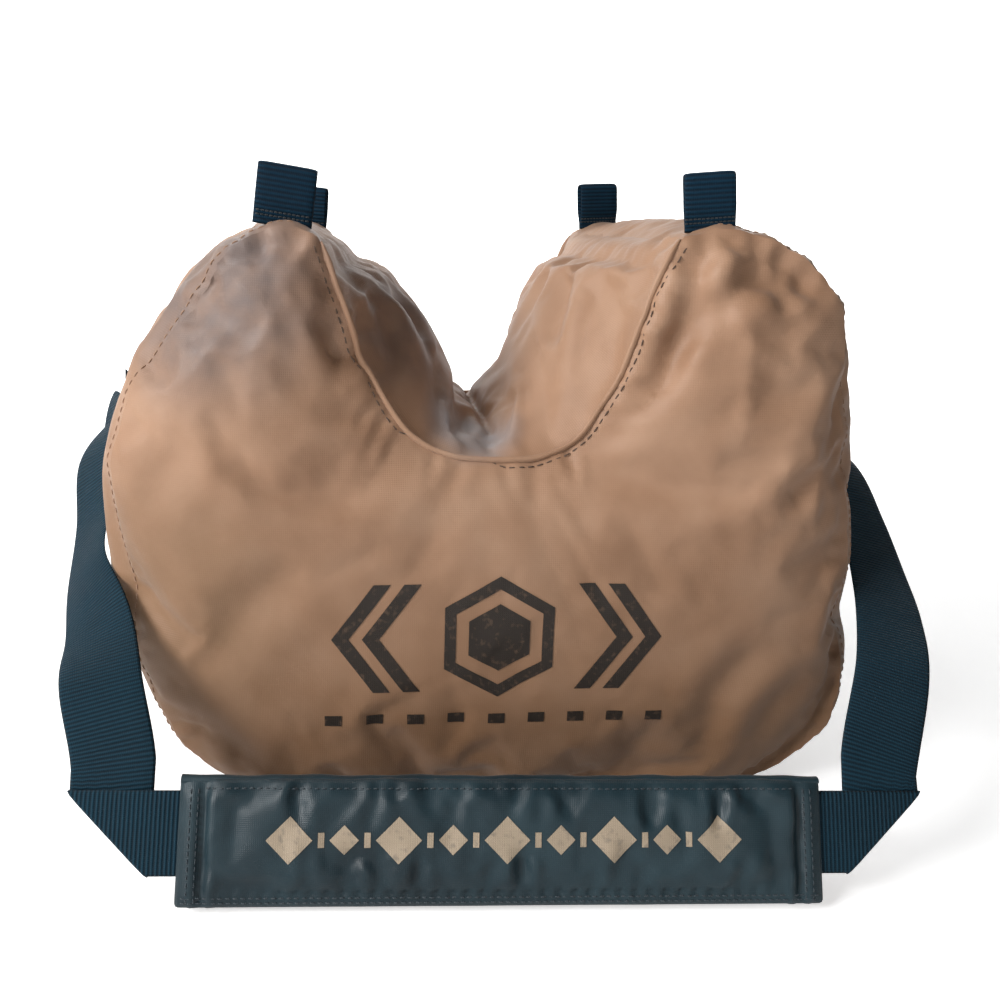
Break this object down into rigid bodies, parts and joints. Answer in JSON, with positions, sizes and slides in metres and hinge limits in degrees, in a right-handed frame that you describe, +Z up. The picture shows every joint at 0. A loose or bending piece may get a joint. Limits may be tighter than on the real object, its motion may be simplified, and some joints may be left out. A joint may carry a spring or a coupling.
{
  "type": "camera support beanbag",
  "caption": "Saddle-shaped beanbag that cradles a camera in a valley between two horns, with webbing tie loops and a carrying strap through a wrap-around shoulder pad.",
  "frame": {"origin": "middle of the flat base, on the surface that the bag stands on", "axes": "+X to the right along the bag, front face towards -Y, +Z up"},
  "size_m": [0.4766, 0.3589, 0.3524],
  "materials": {
    "cover_cloth": "satin proofed cotton and nylon",
    "liner_cloth": "plain weave",
    "bead_fill": "loose beads",
    "webbing": "ribbed webbing",
    "pad_nylon": "satin nylon",
    "pad_foam": "closed-cell foam",
    "hook_and_loop": "hook and loop pile",
    "zip_tape": "woven tape",
    "zip_teeth": "moulded",
    "zip_metal": "satin metal"
  },
  "bodies": {
    "bag": {"front_panel": "cover_cloth", "back_panel": "cover_cloth", "base_panel": "cover_cloth", "left_side_panel": "cover_cloth", "right_side_panel": "cover_cloth", "saddle_panel": "cover_cloth", "front_saddle_welt": "cover_cloth", "back_saddle_welt": "cover_cloth", "inner_liner": "liner_cloth", "bead_fill": "bead_fill", "strap_anchor_left": "webbing", "strap_anchor_right": "webbing", "zip_tape_upper": "zip_tape", "zip_tape_lower": "zip_tape", "zip_teeth": "zip_teeth", "zip_end_stops": "zip_metal"},
    "strap": {"shoulder_strap": "webbing", "pad_back_cover": "pad_nylon", "pad_back_foam": "pad_foam", "pad_hook_tape": "hook_and_loop"},
    "pad_flap": {"pad_front_cover": "pad_nylon", "pad_front_foam": "pad_foam", "pad_loop_tape": "hook_and_loop"},
    "slider": {"zip_slider": "zip_metal"},
    "pull": {"zip_pull": "zip_metal"},
    "loop_front_left": {"tie_loop_front_left": "webbing"},
    "loop_front_right": {"tie_loop_front_right": "webbing"},
    "loop_rear_left": {"tie_loop_rear_left": "webbing"},
    "loop_rear_right": {"tie_loop_rear_right": "webbing"}
  },
  "joints": [
    {"name": "strap_swing", "type": "hinge", "parent": "bag", "child": "strap", "pos_m": [0, 0, 0.2], "axis": [-1, 0, 0], "range_deg": [0, 255]},
    {"name": "pad_flap_open", "type": "hinge", "parent": "strap", "child": "pad_flap", "pos_m": [0.00143, -0.18455, 0.05882], "axis": [-0.9981, 0.061, 0], "range_deg": [0, 110]},
    {"name": "zip_slide", "type": "slide", "parent": "bag", "child": "slider", "axis": [1, 0, 0], "range_m": [0, 0.158]},
    {"name": "zip_pull_swing", "type": "hinge", "parent": "slider", "child": "pull", "pos_m": [-0.0806, 0.1315, 0.098], "axis": [0, 0, 1], "range_deg": [0, 170]},
    {"name": "tie_loop_flex_front_left", "type": "hinge", "parent": "bag", "child": "loop_front_left", "pos_m": [-0.11, -0.097, 0.32137], "axis": [1, 0, 0], "range_deg": [-50, 50], "stiffness_Nm_per_rad": 0.002},
    {"name": "tie_loop_flex_rear_left", "type": "hinge", "parent": "bag", "child": "loop_rear_left", "pos_m": [-0.11, 0.097, 0.32137], "axis": [1, 0, 0], "range_deg": [-50, 50], "stiffness_Nm_per_rad": 0.002},
    {"name": "tie_loop_flex_front_right", "type": "hinge", "parent": "bag", "child": "loop_front_right", "pos_m": [0.10992, -0.097, 0.32137], "axis": [1, 0, 0], "range_deg": [-50, 50], "stiffness_Nm_per_rad": 0.002},
    {"name": "tie_loop_flex_rear_right", "type": "hinge", "parent": "bag", "child": "loop_rear_right", "pos_m": [0.09208, 0.097, 0.32137], "axis": [1, 0, 0], "range_deg": [-50, 50], "stiffness_Nm_per_rad": 0.002}
  ]
}
